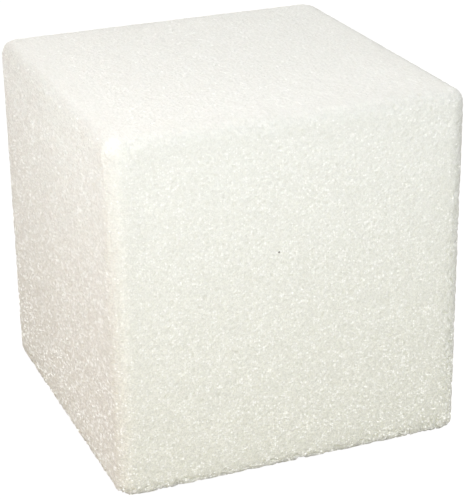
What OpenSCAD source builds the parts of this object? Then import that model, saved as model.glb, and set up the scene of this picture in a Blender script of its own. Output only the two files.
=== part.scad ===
// A block of rigid, coarse-celled foam for crafts and displays.
// It is one solid piece, sawn square from a larger foamed slab, and all twelve
// of its edges are eased: the eight upright and top ones broadly, and the four
// round the base only lightly, so that it keeps a wide flat face to stand on.
//
// Millimetres, +Z up. The origin is the middle of the face it stands on.

/* [Block] */
// Width of the block, left to right
block_w = 127; // [60:1:320]
// Depth of the block, front to back
block_d = 127; // [60:1:320]
// Height of the block, base to top face
block_h = 127; // [60:1:320]

/* [Eased edges] */
// Radius of the four upright edges
upright_r = 6; // [5:0.5:15]
// Radius of the four edges round the top face
top_r = 5; // [1:0.5:5]
// Radius of the four edges round the base
base_r = 3; // [1:0.5:5]

/* [Hidden] */
// Facets used to draw a full turn of a curve
$fn = 96;
// The corner posts stand inside this much of each side
core_w = block_w - 2 * upright_r;
core_d = block_d - 2 * upright_r;

// A rectangle that stands on the X axis, with its two upper corners rounded to
// top_r and its two lower corners to base_r. It is the block's outline seen
// from the front or the side.
module eased_outline(width) {
    // The full width, between the upper and the lower corners
    translate([-width / 2, base_r])
        square([width, block_h - top_r - base_r]);

    eased_ends(width / 2 - top_r, block_h - top_r, top_r);
    eased_ends(width / 2 - base_r, base_r, base_r);
}

// Two round corners of radius r at the height z, reach either side of the
// middle, and the strip that joins them. Corners that meet need no strip.
module eased_ends(reach, z, r) {
    if (reach > 0)
        translate([-reach, z - r])
            square([2 * reach, 2 * r]);
    for (side = [-1, 1])
        translate([side * reach, z])
            circle(r = r);
}

// One upright post, turned from half of the same outline. Its barrel is the
// eased upright edge, and its ends carry the top and base edges round the corner.
module corner_post() {
    rotate_extrude()
        intersection() {
            eased_outline(2 * upright_r);
            square([upright_r, block_h]);
        }
}

// The outline carried through the block from front to back. It leaves room for
// the corner posts at both sides.
module slab_along_depth() {
    translate([0, core_d / 2, 0])
        rotate([90, 0, 0])
            linear_extrude(height = core_d)
                eased_outline(block_w);
}

// The same, carried from left to right
module slab_along_width() {
    rotate([0, 0, 90])
        translate([0, core_w / 2, 0])
            rotate([90, 0, 0])
                linear_extrude(height = core_w)
                    eased_outline(block_d);
}

module foam_block() {
    color("#F4F4EC")
        union() {
            slab_along_depth();
            slab_along_width();
            for (x = [-core_w / 2, core_w / 2])
                for (y = [-core_d / 2, core_d / 2])
                    translate([x, y, 0])
                        corner_post();
        }
}

foam_block();
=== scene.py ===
# %% [markdown]
# # A block of coarse white craft foam
#
# The real block is one piece of rigid plastic foam, sawn square from a larger
# slab. Every face is a cut through thousands of cells a millimetre or two wide.
# The saw leaves the lower half of each cut cell as a small pit, and the thin
# walls between the pits stand up as a net of pale ridges that catch the light.
# The solid block is loaded from model.glb. This script gives it that skin of open
# cells, and the light to see it by.

# %% Load the solid block
import math

import bpy
import numpy as np
from mathutils import Matrix, Vector


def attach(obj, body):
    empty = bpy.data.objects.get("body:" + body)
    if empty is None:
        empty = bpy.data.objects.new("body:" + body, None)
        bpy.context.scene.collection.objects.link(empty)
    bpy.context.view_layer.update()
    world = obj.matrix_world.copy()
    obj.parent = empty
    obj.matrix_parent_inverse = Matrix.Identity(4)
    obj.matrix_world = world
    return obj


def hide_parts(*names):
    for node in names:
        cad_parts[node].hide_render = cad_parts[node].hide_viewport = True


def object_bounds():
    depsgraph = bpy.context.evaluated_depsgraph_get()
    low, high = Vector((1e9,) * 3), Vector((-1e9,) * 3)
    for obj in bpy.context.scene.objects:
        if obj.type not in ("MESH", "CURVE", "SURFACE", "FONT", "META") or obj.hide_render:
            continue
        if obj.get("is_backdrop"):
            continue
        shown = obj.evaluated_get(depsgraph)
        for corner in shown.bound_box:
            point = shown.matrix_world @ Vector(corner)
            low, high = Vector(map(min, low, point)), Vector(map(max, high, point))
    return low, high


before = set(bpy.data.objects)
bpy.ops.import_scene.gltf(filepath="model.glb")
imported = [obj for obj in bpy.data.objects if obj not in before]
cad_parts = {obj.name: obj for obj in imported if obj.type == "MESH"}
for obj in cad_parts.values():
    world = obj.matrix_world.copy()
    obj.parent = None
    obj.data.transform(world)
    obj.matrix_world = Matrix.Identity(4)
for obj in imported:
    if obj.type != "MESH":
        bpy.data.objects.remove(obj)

MM = 0.001
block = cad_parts["foam_block"]
cad_low, cad_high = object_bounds()
block_middle = (cad_low + cad_high) / 2
block_height = cad_high.z - cad_low.z
print("block", [round(side / MM, 2) for side in cad_high - cad_low], "mm")

# %% [markdown]
# ## Camera
#
# A small object is best seen from a little over half a metre away through a
# long lens, so that its upright edges stay nearly parallel. The camera looks
# down on the top, shows most of the front and a narrow strip of the left side,
# and is tipped very slightly, as a camera held by hand is. Turning a camera
# about a point is easiest as a product of matrices: turn round the object, tip
# down, roll, and only then step back.

# %% Camera
camera_azimuth = math.radians(-21.662)
camera_elevation = math.radians(23.026)
camera_roll = math.radians(-0.912)
camera_distance = 631.0 * MM
# These two put the block a little left of and above the middle of the view
camera_right = 3.4 * MM
camera_up = -7.1 * MM
camera_lens = 125.03

camera_data = bpy.data.cameras.new("camera")
camera_data.sensor_width = 36
camera_data.lens = camera_lens
camera_data.clip_start = 0.01
camera = bpy.data.objects.new("camera", camera_data)
bpy.context.scene.collection.objects.link(camera)
bpy.context.scene.camera = camera
aim = (
    Matrix.Rotation(camera_azimuth, 4, "Z")
    @ Matrix.Rotation(math.pi / 2 - camera_elevation, 4, "X")
    @ Matrix.Rotation(camera_roll, 4, "Z")
)
step_back = Matrix.Translation((camera_right, camera_up, camera_distance))
camera.matrix_world = Matrix.Translation(block_middle) @ aim @ step_back
print("camera", [round(c / MM) for c in camera.matrix_world.translation], "mm")

# %% [markdown]
# ## Building node trees
#
# Both the cells and the finish are networks of nodes. Three small helpers keep
# the rest of the script short: one adds a node and fills its inputs with plain
# values or with the outputs of other nodes, and two do sums, one on numbers and
# one on vectors.

# %% Node helpers
def put(tree, kind, inputs=None, **settings):
    """Adds a node to a tree, sets its properties and fills its inputs by name or number."""
    node = tree.nodes.new(kind)
    for name, value in settings.items():
        setattr(node, name, value)
    for name, value in (inputs or {}).items():
        if isinstance(value, bpy.types.NodeSocket):
            tree.links.new(value, node.inputs[name])
        else:
            node.inputs[name].default_value = value
    return node


def calc(tree, operation, *values):
    """One sum on numbers."""
    return put(tree, "ShaderNodeMath", dict(enumerate(values)), operation=operation).outputs[0]


def vector(tree, operation, *values):
    """One sum on vectors, where SCALE takes its number last."""
    inputs = dict(enumerate(values))
    if operation == "SCALE":
        inputs = {0: values[0], "Scale": values[1]}
    node = put(tree, "ShaderNodeVectorMath", inputs, operation=operation)
    return node.outputs["Value" if operation in ("LENGTH", "DOT_PRODUCT") else "Vector"]


print("helpers", [helper.__name__ for helper in (put, calc, vector)])

# %% [markdown]
# ## Knowing where the edges are
#
# Edges of a foam block are handled and knocked more than its faces, so both
# the cells and the finish need to know how near an edge a place is. Count how
# far the place has come into the last few millimetres before each side: on the
# flat of a face that is so for one direction only, and near an edge for two.
# The product of two such numbers is therefore nought on the flats and large
# along all twelve edges. The edges are rounded, so no place on the block comes
# all the way to the corner of its box, and the product is raised to make up.

# %% Near an edge
raised_for_rounding = 1.6


def near_an_edge(tree, place, reach):
    """1 on the twelve edges of the block, falling to 0 that far in from them."""
    out = vector(tree, "ABSOLUTE", vector(tree, "SUBTRACT", place, tuple(block_middle)))
    inner = (cad_high - cad_low) / 2 - Vector((reach, reach, reach))
    past = vector(tree, "SCALE", vector(tree, "SUBTRACT", out, tuple(inner)), 1 / reach)
    part = put(tree, "ShaderNodeSeparateXYZ", {0: vector(tree, "MAXIMUM", past, (0, 0, 0))}).outputs
    pairs = [calc(tree, "MULTIPLY", part[a], part[b]) for a, b in ((0, 1), (1, 2), (2, 0))]
    both = calc(tree, "MAXIMUM", calc(tree, "MAXIMUM", pairs[0], pairs[1]), pairs[2])
    return calc(tree, "MINIMUM", calc(tree, "MULTIPLY", both, raised_for_rounding), 1)


def ramp(tree, value, start, end, at_start, at_end):
    """Runs from one number to another while a value goes from start to end."""
    inputs = {0: value, 1: start, 2: end, 3: at_start, 4: at_end}
    return put(tree, "ShaderNodeMapRange", inputs).outputs[0]


print("edges fade over 5 to 14 mm of a block", round(block_height / MM), "mm tall")

# %% [markdown]
# ## The net of cells
#
# Cut foam looks like a net of many-sided cells with no pattern to it. Such a
# net is what you get when seeds are scattered over the surface, no two of them
# closer than a set distance, and each seed then takes the ground nearest to it.
# The cells come out wider than that distance, because seeds scattered by chance
# never pack as tightly as they could.
#
# Geometry Nodes has no single node for this on a whole closed block, but it can
# be done in four: scatter the seeds on the block, blow them out on to a ball,
# wrap the ball in its Convex Hull, which joins every seed to its neighbours,
# and put the seeds back where they came from. The Dual Mesh of that wrapping
# has one many-sided cell round every seed, and it goes round all twelve edges
# without a seam.

# %% Steps of the cell tree
def on_a_ball(tree, place, low, high):
    """Sends a place on the block to a unit ball, with the seeds spread evenly over it."""
    half = vector(tree, "SCALE", vector(tree, "SUBTRACT", high, low), 0.5)
    middle = vector(tree, "SCALE", vector(tree, "ADD", high, low), 0.5)
    out = vector(tree, "DIVIDE", vector(tree, "SUBTRACT", place, middle), half)
    part = put(tree, "ShaderNodeSeparateXYZ", {0: vector(tree, "ABSOLUTE", out)}).outputs
    furthest = calc(tree, "MAXIMUM", calc(tree, "MAXIMUM", part[0], part[1]), part[2])
    quarter = vector(tree, "SCALE", out, calc(tree, "DIVIDE", math.pi / 4, furthest))
    return vector(tree, "NORMALIZE", vector(tree, "TANGENT", quarter))


def joined_seeds(tree, seeds, low, high):
    """A closed mesh of triangles whose corners are the seeds."""
    place = put(tree, "GeometryNodeInputPosition").outputs[0]
    marked = put(tree, "GeometryNodeStoreNamedAttribute", {
        "Geometry": seeds, "Name": "home", "Value": place,
    }, data_type="FLOAT_VECTOR", domain="POINT").outputs[0]
    ball = put(tree, "GeometryNodeSetPosition", {
        "Geometry": marked, "Position": on_a_ball(tree, place, low, high),
    }).outputs[0]
    wrapping = put(tree, "GeometryNodeConvexHull", {"Geometry": ball}).outputs[0]
    home = put(tree, "GeometryNodeInputNamedAttribute", {"Name": "home"},
               data_type="FLOAT_VECTOR").outputs[0]
    nearest = put(tree, "GeometryNodeSampleNearest", {"Geometry": ball}, domain="POINT")
    there = put(tree, "GeometryNodeSampleIndex", {
        "Geometry": ball, "Value": home, "Index": nearest.outputs[0],
    }, data_type="FLOAT_VECTOR", domain="POINT").outputs[0]
    return put(tree, "GeometryNodeSetPosition", {
        "Geometry": wrapping, "Position": there,
    }).outputs[0]


print("steps", [step.__name__ for step in (on_a_ball, joined_seeds)])

# %% [markdown]
# ## Fans
#
# A cell that the saw has opened is a cup. The fewest triangles that make a cup
# are a fan: each cell's rim is joined to one point in its middle. Extrude Mesh
# with no distance gives every cell a second copy of itself, Scale Elements
# shrinks that copy to a point, and Merge by Distance makes the point one vertex.
# Poking the faces in edit mode would do the same, but only by hand.

# %% Fans
merge_distance = 0.01 * MM


def named(tree, name, kind):
    """Reads back an attribute that the tree has stored."""
    return put(tree, "GeometryNodeInputNamedAttribute", {"Name": name}, data_type=kind).outputs[0]


def stored(tree, mesh, name, value, kind, domain):
    """Stores a value on every point or face of the mesh."""
    return put(tree, "GeometryNodeStoreNamedAttribute", {
        "Geometry": mesh, "Name": name, "Value": value,
    }, data_type=kind, domain=domain).outputs[0]


def fanned(tree, cells):
    """Turns each cell into a fan of triangles. Also returns which points are middles."""
    raised = put(tree, "GeometryNodeExtrudeMesh", {
        "Mesh": cells, "Offset Scale": 0.0, "Individual": True,
    }, mode="FACES")
    shrunk = put(tree, "GeometryNodeScaleElements", {
        "Geometry": raised.outputs["Mesh"], "Selection": raised.outputs["Top"], "Scale": 0.0,
    }, domain="FACE").outputs[0]
    marked = stored(tree, shrunk, "middle", raised.outputs["Top"], "BOOLEAN", "POINT")
    is_middle = named(tree, "middle", "BOOLEAN")
    fan = put(tree, "GeometryNodeMergeByDistance", {
        "Geometry": marked, "Selection": is_middle, "Distance": merge_distance,
    }).outputs[0]
    return fan, is_middle


print("middles merge within", merge_distance / MM, "mm")

# %% [markdown]
# ## Pits
#
# The middle of each fan is pushed down into the foam to its own depth, and a
# little to one side, because the saw cuts some cells through the middle and
# only grazes others. The rims are torn and never quite level, so each corner
# also sinks by a hair's breadth. All of it goes inwards, so that the block
# keeps its size: a displacement outwards would make it larger than the solid.
# Along the edges the pits are shallower, where handling has rubbed them down.

# %% Pits
rubbed_reach = 12 * MM
rubbed_share = 0.6
usual_width = 1.7 * MM
shallowest, deepest = 0.35, 1.45
wander_share = 0.2


def random_number(tree, low, high, seed):
    """A random number for every point."""
    inputs = {2: low, 3: high, "Seed": seed}
    return put(tree, "FunctionNodeRandomValue", inputs, data_type="FLOAT").outputs[1]


def cell_width(tree):
    """How wide the cell round a point is, from the area of its fan."""
    face_area = put(tree, "GeometryNodeInputMeshFaceArea").outputs[0]
    area = put(tree, "GeometryNodeFieldOnDomain", {0: face_area},
               data_type="FLOAT", domain="POINT").outputs[0]
    neighbours = put(tree, "GeometryNodeInputMeshVertexNeighbors").outputs["Face Count"]
    return calc(tree, "SQRT", calc(tree, "MULTIPLY", area, neighbours))


def sunk_by(tree, is_middle, width, pit_depth, rim_slack):
    """How far each point goes down: middles by a pit's depth and rims by a little."""
    place = put(tree, "GeometryNodeInputPosition").outputs[0]
    at_edge = near_an_edge(tree, place, rubbed_reach)
    smoother = calc(tree, "MULTIPLY_ADD", at_edge, -rubbed_share, 1.0)
    pit_depth = calc(tree, "MULTIPLY", pit_depth, smoother)
    rim_slack = calc(tree, "MULTIPLY", rim_slack, smoother)
    relative = calc(tree, "DIVIDE", width, usual_width)
    own_depth = calc(tree, "MULTIPLY", pit_depth, random_number(tree, shallowest, deepest, 1))
    mostly_small = calc(tree, "POWER", random_number(tree, 0, 1, 2), 2)
    slack = calc(tree, "MULTIPLY", rim_slack, mostly_small)
    return put(tree, "GeometryNodeSwitch", {
        0: is_middle, 1: slack, 2: calc(tree, "MULTIPLY", own_depth, relative),
    }, input_type="FLOAT").outputs[0]


def wandering(tree, is_middle, width, normal):
    """Moves the middle of a pit sideways by up to a fifth of the cell's width."""
    wander = put(tree, "FunctionNodeRandomValue", {
        0: (-1, -1, -1), 1: (1, 1, 1), "Seed": 3,
    }, data_type="FLOAT_VECTOR").outputs[0]
    rise = vector(tree, "SCALE", normal, vector(tree, "DOT_PRODUCT", wander, normal))
    reach = calc(tree, "MULTIPLY", calc(tree, "MULTIPLY", width, wander_share), is_middle)
    return vector(tree, "SCALE", vector(tree, "SUBTRACT", wander, rise), reach)


print("pits from", shallowest, "to", deepest, "times their usual depth")

# %% [markdown]
# ## Torn cells
#
# Whole cells break out of brittle foam where it is gripped and set down: along
# the foot of the block and on the two uprights that stand furthest apart. A
# third power of a random number is small nearly always and large now and then,
# which is how such damage is spread. It is added to the pits, so a torn cell is
# a deeper pit that also takes its rim with it, and the outline turns ragged.

# %% Torn cells
torn_upright_reach = 8 * MM
torn_foot_reach = 5 * MM
torn_foot_height = 3 * MM, 5 * MM
torn_share_at_top = 0.2
# From here to there, in block heights, for both the outer corners and the upper part
torn_from, torn_to = 0.5, 0.9


def torn_by(tree):
    """How deep each point is torn, from 0 to 1."""
    place = put(tree, "GeometryNodeInputPosition").outputs[0]
    part = put(tree, "ShaderNodeSeparateXYZ", {0: place}).outputs
    apart = calc(tree, "ABSOLUTE", calc(tree, "SUBTRACT", part["X"], part["Y"]))
    start, end = torn_from * block_height, torn_to * block_height
    outer = ramp(tree, apart, start, end, 0.0, 1.0)
    below_top = ramp(tree, part["Z"], start, end, 1.0, torn_share_at_top)
    at_foot = ramp(tree, part["Z"], *torn_foot_height, 1.0, 0.0)
    wanted = calc(tree, "MULTIPLY", outer, below_top)
    upright = calc(tree, "MULTIPLY", near_an_edge(tree, place, torn_upright_reach), wanted)
    foot = calc(tree, "MULTIPLY", near_an_edge(tree, place, torn_foot_reach), at_foot)
    chance = calc(tree, "POWER", random_number(tree, 0, 1, 5), 3)
    return calc(tree, "MULTIPLY", chance, calc(tree, "MAXIMUM", upright, foot))


print("torn within", round(torn_upright_reach / MM), "mm of the outer uprights")

# %% [markdown]
# ## The whole tree
#
# The steps are joined into one Geometry Nodes tree whose sizes are named
# inputs, so that a coarser or deeper foam is a change of one number. The tree
# also leaves two notes for the finish: which points lie on a rim, and a random
# number for every cell.

# %% The cell tree
tree_inputs = {
    "Least spacing": "NodeSocketFloat", "Seeds tried per square metre": "NodeSocketFloat",
    "Pit depth": "NodeSocketFloat", "Rim slack": "NodeSocketFloat",
    "Torn depth": "NodeSocketFloat", "Seed": "NodeSocketInt", "Finish": "NodeSocketMaterial",
}
never_proud = 0.001 * MM
corners_of_a_triangle = 3


def sunk_cells(tree, fan, is_middle, size):
    """Pushes pits and torn cells into the block."""
    width = cell_width(tree)
    normal = put(tree, "GeometryNodeInputNormal").outputs[0]
    down = sunk_by(tree, is_middle, width, size["Pit depth"], size["Rim slack"])
    # Every point sinks a little more, so that rounding never leaves one proud of the block
    down = calc(tree, "ADD", down, never_proud)
    down = calc(tree, "MULTIPLY_ADD", torn_by(tree), size["Torn depth"], down)
    inwards = vector(tree, "SCALE", normal, calc(tree, "MULTIPLY", down, -1))
    sideways = wandering(tree, is_middle, width, normal)
    return put(tree, "GeometryNodeSetPosition", {
        "Geometry": fan, "Offset": vector(tree, "ADD", inwards, sideways),
    }).outputs[0]


def noted(tree, cups, is_middle):
    """Stores what the finish needs to know: where a rim is, and a number for each cell."""
    rim = calc(tree, "SUBTRACT", 1, is_middle)
    walled = stored(tree, cups, "wall", rim, "FLOAT", "POINT")
    # A face takes the mean of its three points, of which one is a middle
    at_middles = calc(tree, "MULTIPLY", random_number(tree, 0, 1, 4), is_middle)
    own_number = calc(tree, "MULTIPLY", at_middles, corners_of_a_triangle)
    toned = stored(tree, walled, "cell_tone", own_number, "FLOAT", "FACE")
    return put(tree, "GeometryNodeRemoveAttribute", {
        "Geometry": toned, "Name": "middle",
    }).outputs[0]


def cell_tree():
    """The Geometry Nodes tree that gives a solid its skin of cut cells."""
    tree = bpy.data.node_groups.new("cut_cells", "GeometryNodeTree")
    tree.interface.new_socket("Block", in_out="INPUT", socket_type="NodeSocketGeometry")
    for name, kind in tree_inputs.items():
        tree.interface.new_socket(name, in_out="INPUT", socket_type=kind)
    tree.interface.new_socket("Skin", in_out="OUTPUT", socket_type="NodeSocketGeometry")
    size = put(tree, "NodeGroupInput").outputs

    seeds = put(tree, "GeometryNodeDistributePointsOnFaces", {
        "Mesh": size["Block"], "Distance Min": size["Least spacing"],
        "Density Max": size["Seeds tried per square metre"], "Seed": size["Seed"],
    }, distribute_method="POISSON").outputs["Points"]
    box = put(tree, "GeometryNodeBoundBox", {0: size["Block"]}).outputs
    net = joined_seeds(tree, seeds, box["Min"], box["Max"])
    cells = put(tree, "GeometryNodeDualMesh", {"Mesh": net}).outputs[0]
    fan, is_middle = fanned(tree, cells)
    tidy = noted(tree, sunk_cells(tree, fan, is_middle, size), is_middle)
    flat = put(tree, "GeometryNodeSetShadeSmooth", {0: tidy, "Shade Smooth": False}).outputs[0]
    real = put(tree, "GeometryNodeRealizeInstances", {0: flat}).outputs[0]
    finished = put(tree, "GeometryNodeSetMaterial", {
        "Geometry": real, "Material": size["Finish"],
    }).outputs[0]
    put(tree, "NodeGroupOutput", {0: finished})
    return tree


skin_tree = cell_tree()
print("cell tree", len(skin_tree.nodes), "nodes, inputs", list(tree_inputs))

# %% [markdown]
# ## Facets and flakes
#
# Inside each cut cell the walls are broken into facets less than half a
# millimetre across, far too many to model on a whole block. The finish makes
# them instead, from two Voronoi patterns fixed to the block. The finer one
# gives every facet its own tone and tilt. The coarser one picks out a spot here
# and there: a scrap of cell wall that is clean, flat and shiny, and so mirrors
# the bright room.
#
# Two things here are a guess or a shortcut. Foam that has risen in one
# direction can have long cells, and squeezing the coordinates draws the grain
# out from front to back. That is a guess at this foam: a share of 1 in the
# depth makes the grain round. And the Color of a Voronoi spot is the spot's own
# place in the pattern, not a free random number, so how many spots become
# flakes on a flat face depends on where it cuts the pattern. The right side
# gets nearly none. A White Noise node between that Color and the luck would
# treat all sides alike, and the luck below would then need setting again.
# (Feeding it with the spot's Position looks as good but isn't: rounding makes
# it differ within some of the spots.)

# %% Facets and flakes
facets_per_metre = 2600.0
spots_per_metre = 1250.0
share_in_depth = 0.35
# A flake fades out between these two, in widths of its spot
flake_radius, flake_end = 0.26, 0.42
# Luck runs from 0 to 1. A spot with this much is a flake, and these shift it
lucky_from, lucky_to = 0.68, 0.74
luck_at_foot, luck_at_top = 0.075, -0.06
luck_on_top_face = -0.16
luck_high_on_sides = 0.06
luck_on_upper_edges = -0.2
upper_from, upper_to = 0.1, 0.5
rubbed_flake_reach = 9 * MM
# A high power of how far a face looks along an axis is 1 only where it does so squarely
squarely = 6


def facets(tree, place):
    """A random colour for every facet, and how much of a flake lies at a place."""
    drawn_out = vector(tree, "MULTIPLY", place, (1.0, share_in_depth, 1.0))
    facet = put(tree, "ShaderNodeTexVoronoi", {
        "Vector": drawn_out, "Scale": facets_per_metre,
    }).outputs["Color"]
    spot = put(tree, "ShaderNodeTexVoronoi", {
        "Vector": drawn_out, "Scale": spots_per_metre,
    }).outputs
    chance = put(tree, "ShaderNodeSeparateColor", {0: spot["Color"]}).outputs[0]
    return facet, chance, ramp(tree, spot["Distance"], flake_radius, flake_end, 1.0, 0.0)


def flakes(tree, place, height, facing, chance, round_spot):
    """1 on a bright flake, with more low down and few on top or on upper edges."""
    on_side = calc(tree, "POWER", facing["X"], squarely)
    more_high_up = ramp(tree, height, 0.0, block_height, 0.0, luck_high_on_sides)
    luck = calc(tree, "MULTIPLY_ADD", on_side, more_high_up, chance)
    on_top = calc(tree, "POWER", facing["Z"], squarely)
    luck = calc(tree, "MULTIPLY_ADD", on_top, luck_on_top_face, luck)
    by_height = ramp(tree, height, 0.0, block_height, luck_at_foot, luck_at_top)
    luck = calc(tree, "ADD", luck, by_height)
    rubbed_off = ramp(tree, height, upper_from * block_height, upper_to * block_height,
                      0.0, luck_on_upper_edges)
    at_edge = near_an_edge(tree, place, rubbed_flake_reach)
    luck = calc(tree, "MULTIPLY_ADD", at_edge, rubbed_off, luck)
    return calc(tree, "MULTIPLY", ramp(tree, luck, lucky_from, lucky_to, 0.0, 1.0), round_spot)


print("facets", round(1 / facets_per_metre / MM, 2), "mm, spots",
      round(1 / spots_per_metre / MM, 2), "mm across")

# %% [markdown]
# ## Colour of the foam
#
# White foam is never one white, and some of the differences here are painted
# light. Rims are painted a little paler than pits, a painted highlight on the
# rims and painted shade in the pits, and each cell adds its own random tone. The
# foam is painted yellower at the foot and bluer at the top, a painted tint of the
# light, and the edges carry painted shade, stronger higher up. One grain of dirt
# sits on the front. Each is a small sum on the base colour. Painting them on a
# picture would need one of very high resolution for spots this fine.

# %% Colour of the foam
foam_white = 0.85
# The blue rises with height, a painted tint of the light: yellower at the foot, bluer at the top
painted_light_blue_at_foot, painted_light_blue_at_top = 0.748, 0.784
# Colour of the flakes, and of the painted highlight towards which the rims are mixed
flake_and_rim_light_colour = (0.96, 0.96, 0.91, 1)
# How much paler rims are painted than pits, a painted highlight and pit shade, and how much each
# cell's random tone adds
painted_rim_light_and_cell_tone = 0.06
# How much the facets differ in tone, at the foot and the top, and what the sides add
contrast_at_foot, contrast_at_top = 0.24, 0.10
side_contrast_at_foot, side_contrast_at_top = -0.02, 0.12
# Painted shade along the edges, which is stronger higher up and on edges between side and top
edge_shade_reach, wide_edge_shade_reach = 7 * MM, 14 * MM
edge_shade_amount = 0.08
edge_shade_at_side_tops = 0.08
edge_shade_at_foot, edge_shade_at_top = 0.5, 1.1
wide_edge_shade_amount = 0.02
edge_shade_takes = (-1.0, -1.0, -0.92)
speck_place = (-5.6 * MM, -63.5 * MM, 80.6 * MM)
speck_radius, speck_end = 0.25 * MM, 0.45 * MM


def painted_edge_shade(tree, place, height, facing):
    """How much painted shade darkens the foam: a wide faint band along edges and a narrow one."""
    edge_band = calc(tree, "POWER", near_an_edge(tree, place, edge_shade_reach), 2)
    higher = ramp(tree, height, 0.0, block_height, edge_shade_at_foot, edge_shade_at_top)
    sideways = calc(tree, "MULTIPLY", facing["X"], facing["Z"])
    amount = calc(tree, "MULTIPLY_ADD", sideways, edge_shade_at_side_tops, edge_shade_amount)
    narrow_edge_shade = calc(tree, "MULTIPLY", amount, higher)
    wide_edge_shade = calc(tree, "MULTIPLY", near_an_edge(tree, place, wide_edge_shade_reach), wide_edge_shade_amount)
    return calc(tree, "MULTIPLY_ADD", narrow_edge_shade, edge_band, wide_edge_shade)


def facet_contrast(tree, height, facing):
    """How much the facets differ in tone at a place."""
    contrast = ramp(tree, height, 0.0, block_height, contrast_at_foot, contrast_at_top)
    on_side = calc(tree, "POWER", facing["X"], squarely)
    more = ramp(tree, height, 0.0, block_height, side_contrast_at_foot, side_contrast_at_top)
    return calc(tree, "MULTIPLY_ADD", on_side, more, contrast)


def foam_colour(tree, place, height, facing, tone, flake):
    """The base colour, without the speck."""
    wall = put(tree, "ShaderNodeAttribute", attribute_name="wall").outputs["Fac"]
    own = put(tree, "ShaderNodeAttribute", attribute_name="cell_tone").outputs["Fac"]
    # Rims are painted paler than pits, a painted highlight on rims and painted shade in pits; each
    # cell also adds its own random tone
    rim_light_and_tone = calc(tree, "MULTIPLY", calc(tree, "ADD", wall, own), painted_rim_light_and_cell_tone)
    flake_or_rim_light = put(tree, "ShaderNodeMath", {0: flake, 1: rim_light_and_tone}, operation="ADD", use_clamp=True)
    # Yellower at the foot and bluer at the top, a painted tint of the light
    blue = ramp(tree, height, 0.0, block_height, painted_light_blue_at_foot, painted_light_blue_at_top)
    light_tinted = put(tree, "ShaderNodeCombineXYZ", {0: foam_white, 1: foam_white, 2: blue}).outputs[0]
    contrast = facet_contrast(tree, height, facing)
    shade = calc(tree, "MULTIPLY_ADD", calc(tree, "SUBTRACT", tone, 0.5), contrast, 1.0)
    shaded = vector(tree, "SCALE", light_tinted, shade)
    # Painted shade along the edges, taken a little less from the blue
    edge_shade = vector(tree, "SCALE", edge_shade_takes, painted_edge_shade(tree, place, height, facing))
    return put(tree, "ShaderNodeMix", {
        0: flake_or_rim_light.outputs[0], 6: vector(tree, "ADD", shaded, edge_shade), 7: flake_and_rim_light_colour,
    }, data_type="RGBA").outputs[2]


def off_the_speck(tree, place):
    """0 on the grain of dirt and 1 everywhere else."""
    distance = vector(tree, "LENGTH", vector(tree, "SUBTRACT", place, speck_place))
    return ramp(tree, distance, speck_radius, speck_end, 0.0, 1.0)


print("speck", [round(c / MM, 1) for c in speck_place], "mm")

# %% [markdown]
# ## Foam material
#
# Foam lets light in and gives it back a few millimetres away, so the shadows in
# its pits stay soft. Subsurface scattering does that. The radius is the same
# for all three colours, because the plastic is clear and only the cells scatter
# light. Where a flake lies the material turns metallic instead, which is the
# cheapest way to a mirror that shows the room and not the light inside. Each
# facet tips the Normal its own way, and flakes do not, since they are flat.

# %% Foam material
speck_colour = (0.22, 0.20, 0.17, 1)
facet_tilt = 0.4
light_travels = 2 * MM


def foam_finish():
    """The material of the whole block."""
    finish = bpy.data.materials.new("white_foam")
    finish.use_nodes = True
    tree = finish.node_tree
    tree.nodes.clear()
    place = put(tree, "ShaderNodeTexCoord").outputs["Object"]
    height = put(tree, "ShaderNodeSeparateXYZ", {0: place}).outputs["Z"]
    level = put(tree, "ShaderNodeNewGeometry").outputs["Normal"]
    facing = put(tree, "ShaderNodeSeparateXYZ", {0: vector(tree, "ABSOLUTE", level)}).outputs

    facet, chance, round_spot = facets(tree, place)
    flake = flakes(tree, place, height, facing, chance, round_spot)
    tone = put(tree, "ShaderNodeSeparateColor", {0: facet}).outputs[1]
    foam = foam_colour(tree, place, height, facing, tone, flake)
    off_speck = off_the_speck(tree, place)
    colour = put(tree, "ShaderNodeMix", {
        0: off_speck, 6: speck_colour, 7: foam,
    }, data_type="RGBA").outputs[2]
    shiny = calc(tree, "MULTIPLY", flake, off_speck)

    lean = calc(tree, "MULTIPLY", calc(tree, "SUBTRACT", 1.0, shiny), facet_tilt)
    tilt = vector(tree, "SCALE", vector(tree, "SUBTRACT", facet, (0.5, 0.5, 0.5)), lean)
    shader = put(tree, "ShaderNodeBsdfPrincipled", {
        "Base Color": colour, "Metallic": shiny, "Roughness": 0.5, "IOR": 1.35,
        "Subsurface Weight": 1.0, "Subsurface Radius": (1.0, 1.0, 1.0),
        "Subsurface Scale": light_travels,
        "Normal": vector(tree, "NORMALIZE", vector(tree, "ADD", level, tilt)),
    })
    put(tree, "ShaderNodeOutputMaterial", {"Surface": shader.outputs[0]})
    return finish


finish = foam_finish()
print("finish", finish.name, "of", len(finish.node_tree.nodes), "nodes")

# %% [markdown]
# ## Skin of cut cells
#
# The tree now runs as a modifier on a copy of the solid block, so its rounded
# edges are the block's own. Seeds a little over a millimetre apart give cells
# that are nearly two millimetres wide, and the cell below prints how wide. The
# finish above holds the facets of their walls, because a mesh of those would
# take millions of triangles. Once the skin is made, it is kept as a plain mesh
# and the object that carried the modifier is let go.

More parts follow.
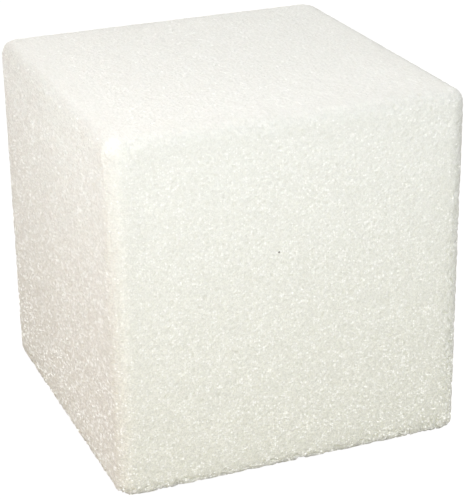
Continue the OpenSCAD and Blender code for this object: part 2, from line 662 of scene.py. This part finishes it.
# %% Skin of cut cells
skin_sizes = {
    "Least spacing": 1.05 * MM, "Seeds tried per square metre": 900000.0,
    "Pit depth": 0.16 * MM, "Rim slack": 0.08 * MM, "Torn depth": 1.5 * MM,
    "Seed": 7, "Finish": finish,
}
source = bpy.data.objects.new("skin_source", block.data.copy())
bpy.context.scene.collection.objects.link(source)
modifier = source.modifiers.new("cut_cells", "NODES")
modifier.node_group = skin_tree
for item in skin_tree.interface.items_tree:
    if item.name in skin_sizes and item.in_out == "INPUT":
        modifier[item.identifier] = skin_sizes[item.name]
evaluated = source.evaluated_get(bpy.context.evaluated_depsgraph_get())
skin_mesh = bpy.data.meshes.new_from_object(evaluated)
skin = bpy.data.objects.new("foam_skin", skin_mesh)
bpy.context.scene.collection.objects.link(skin)
bpy.data.objects.remove(source)
walls = np.empty(len(skin_mesh.vertices), dtype=np.float32)
skin_mesh.attributes["wall"].data.foreach_get("value", walls)
cell_count = int((walls == 0).sum())
block_area = sum(polygon.area for polygon in block.data.polygons)
mean_width = math.sqrt(block_area / cell_count)
print("skin", len(skin_mesh.polygons), "triangles in", cell_count, "cells of",
      round(mean_width / MM, 2), "mm on average")

# %% [markdown]
# ## Six charts
#
# When the finish is baked to a picture, every triangle needs its own place on
# it. Smart UV Project would break this rough skin into thousands of islands.
# A block has a better map: look straight at each of its six sides and lay the
# six views out in a grid, three across and two up. A triangle belongs to the
# side that its middle is nearest to. NumPy does this for all of them at once.

# %% Six charts
# For each side: the axis that runs right on its chart and which way, the axis
# that runs up, and the chart's column and row
charts = {
    (0, True): (1, 1, 2, 0, 0), (0, False): (1, -1, 2, 1, 0), (1, True): (0, -1, 2, 2, 0),
    (1, False): (0, 1, 2, 0, 1), (2, True): (0, 1, 1, 1, 1), (2, False): (0, -1, 1, 2, 1),
}
chart_margin = 0.01
chart_columns, chart_rows = 3, 2


def triangle_spots(mesh):
    """Where the corners of each triangle are, from -0.5 to 0.5 across the block."""
    corners = np.empty(len(mesh.loops), dtype=int)
    mesh.loops.foreach_get("vertex_index", corners)
    places = np.empty(len(mesh.vertices) * 3)
    mesh.vertices.foreach_get("co", places)
    spots = (places.reshape(-1, 3) - np.array(block_middle)) / np.array(cad_high - cad_low)
    return spots[corners].reshape(-1, 3, 3)


def on_the_charts(spots):
    """The same corners on the UV square."""
    middles = spots.mean(axis=1)
    axis = abs(middles).argmax(axis=1)
    positive = middles[np.arange(len(middles)), axis] > 0
    uv = np.empty((len(spots), 3, 2))
    inner = 1 - 2 * chart_margin
    for (side, is_positive), (right, sign, up, column, row) in charts.items():
        mine = (axis == side) & (positive == is_positive)
        across = chart_margin + inner * (0.5 + sign * spots[mine][:, :, right])
        rise = chart_margin + inner * (0.5 + spots[mine][:, :, up])
        uv[mine, :, 0] = (column + across) / chart_columns
        uv[mine, :, 1] = (row + rise) / chart_rows
    return uv


uv = on_the_charts(triangle_spots(skin_mesh))
skin_mesh.uv_layers.new(name="OFBake").data.foreach_set("uv", uv.ravel())
first, second = uv[:, 1] - uv[:, 0], uv[:, 2] - uv[:, 0]
areas = (first[:, 0] * second[:, 1] - first[:, 1] * second[:, 0]) / 2
print("charts cover", round(float(abs(areas).sum()), 3), "of the square")

# %% [markdown]
# ## Floor and surroundings
#
# White on white is the hard part of this picture: the floor and the room must
# be pure white behind the block, yet must not light it from every side, or its
# faces would run together. A light path switch keeps the two jobs apart. Rays
# that end up in the picture, straight from the camera or off a shiny flake, see
# plain white. Rays that carry light to the foam see a dim room and a grey
# floor, a little warm, since the light that rises from it is. A quarter of the
# floor's own shading still shows, which leaves the block a faint shadow.

# %% Floor and surroundings
floor_half = 2.0
floor_colour = (0.52, 0.50, 0.45, 1)
room_strength = 0.5
# How much of the floor is swapped for white, and how strong that white has to be
# so that white and what is left of the paper's own shading come to about 1 together
paper_swapped = 0.75
paper_white, paper_white_in_gloss = 1.28, 1.64
room_white, room_white_in_gloss = 1.0, 1.4


def white_when_seen(tree, shader, share, white, white_in_gloss):
    """Swaps that share of a shader for plain white, for rays that show it in the picture."""
    ray = put(tree, "ShaderNodeLightPath").outputs
    seen = calc(tree, "MAXIMUM", ray["Is Camera Ray"], ray["Is Glossy Ray"])
    seen = calc(tree, "MAXIMUM", seen, ray["Is Transmission Ray"])
    strength = calc(tree, "MULTIPLY_ADD", ray["Is Glossy Ray"], white_in_gloss - white, white)
    glow = put(tree, "ShaderNodeEmission", {"Color": (1, 1, 1, 1), "Strength": strength}).outputs[0]
    return put(tree, "ShaderNodeMixShader", {
        0: calc(tree, "MULTIPLY", seen, share), 1: shader, 2: glow,
    }).outputs[0]


paper = bpy.data.materials.new("paper")
paper.use_nodes = True
paper.node_tree.nodes.clear()
matt = put(paper.node_tree, "ShaderNodeBsdfDiffuse", {"Color": floor_colour}).outputs[0]
seen_floor = white_when_seen(
    paper.node_tree, matt, paper_swapped, paper_white, paper_white_in_gloss,
)
put(paper.node_tree, "ShaderNodeOutputMaterial", {0: seen_floor})

floor_corners = [
    Vector((side * floor_half, depth * floor_half, cad_low.z))
    for side, depth in ((-1, -1), (1, -1), (1, 1), (-1, 1))
]
floor_mesh = bpy.data.meshes.new("floor")
floor_mesh.from_pydata(floor_corners, [], [(0, 1, 2, 3)])
floor_mesh.materials.append(paper)
floor = bpy.data.objects.new("floor", floor_mesh)
bpy.context.scene.collection.objects.link(floor)
floor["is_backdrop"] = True

room = bpy.data.worlds.new("room")
bpy.context.scene.world = room
room.use_nodes = True
room.node_tree.nodes.clear()
dim = put(room.node_tree, "ShaderNodeBackground", {
    "Color": (1, 1, 1, 1), "Strength": room_strength,
}).outputs[0]
seen_room = white_when_seen(room.node_tree, dim, 1.0, room_white, room_white_in_gloss)
put(room.node_tree, "ShaderNodeOutputWorld", {0: seen_room})
print("floor", 2 * floor_half, "m wide, room light", room_strength)

# %% [markdown]
# ## Lamps
#
# Three soft panels light the block, as in a small product studio: one by the
# camera for the front, one to the left that is a little pink, and a larger one
# high behind for the top. A fourth, small and narrow, is aimed at the upper part
# of the left side, which fades towards its foot. Close panels make soft
# gradients over each face, which a sun or a distant lamp cannot. Flakes are
# mirrors, so the panels are hidden from them: a lamp seen in a flake would be a
# burnt-out dot.

# %% Lamps
def placed(azimuth, elevation, distance):
    """A place that far from the middle of the block, in that direction."""
    side, rise = math.radians(azimuth), math.radians(elevation)
    level = distance * math.cos(rise)
    return Vector((level * math.sin(side), -level * math.cos(side), distance * math.sin(rise)))


def panel(name, place, width, watts, colour, aimed_above=0.0, spread=180):
    """A square soft panel that faces the middle of the block, or a place above it."""
    data = bpy.data.lights.new(name, "AREA")
    data.shape = "SQUARE"
    data.size = width
    data.energy = watts
    data.color = colour
    data.spread = math.radians(spread)
    lamp = bpy.data.objects.new(name, data)
    bpy.context.scene.collection.objects.link(lamp)
    lamp.location = block_middle + place
    lamp.rotation_euler = (Vector((0, 0, aimed_above)) - place).to_track_quat("-Z", "Y").to_euler()
    lamp.visible_camera = False
    lamp.visible_glossy = False
    return lamp


lamps = [
    panel("front_panel", placed(-6, 24, 0.40), width=0.20, watts=0.69,
          colour=(0.89, 0.93, 1.0)),
    panel("left_panel", placed(-71, 32, 0.40), width=0.20, watts=0.59,
          colour=(1.0, 0.81, 0.81)),
    panel("left_top_panel", placed(-72, 25, 0.40), width=0.12, watts=0.022,
          colour=(0.53, 0.93, 1.0), aimed_above=0.09, spread=50),
    panel("back_panel", placed(138, 60, 1.40), width=0.60, watts=4.4,
          colour=(0.97, 0.95, 0.96)),
]
print("lamps", {lamp.name: round(lamp.data.energy, 3) for lamp in lamps}, "watts")

# %% [markdown]
# ## Hand over
#
# The skin takes the place of the solid block in the picture, rides on the root
# body and wears the foam finish made above. Both boxes are measured, to show
# that the skin is nowhere bigger than the solid it was cut from. The
# Standard view shows the colours as they were mixed, with no film curve.

# %% Hand over
bpy.context.scene.view_settings.view_transform = "Standard"
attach(skin, "root")
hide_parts("foam_block")
low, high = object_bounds()
room_left = [round(gap / MM, 4) for gap in (*(low - cad_low), *(cad_high - high))]
print("skin inside the block by", room_left, "mm")
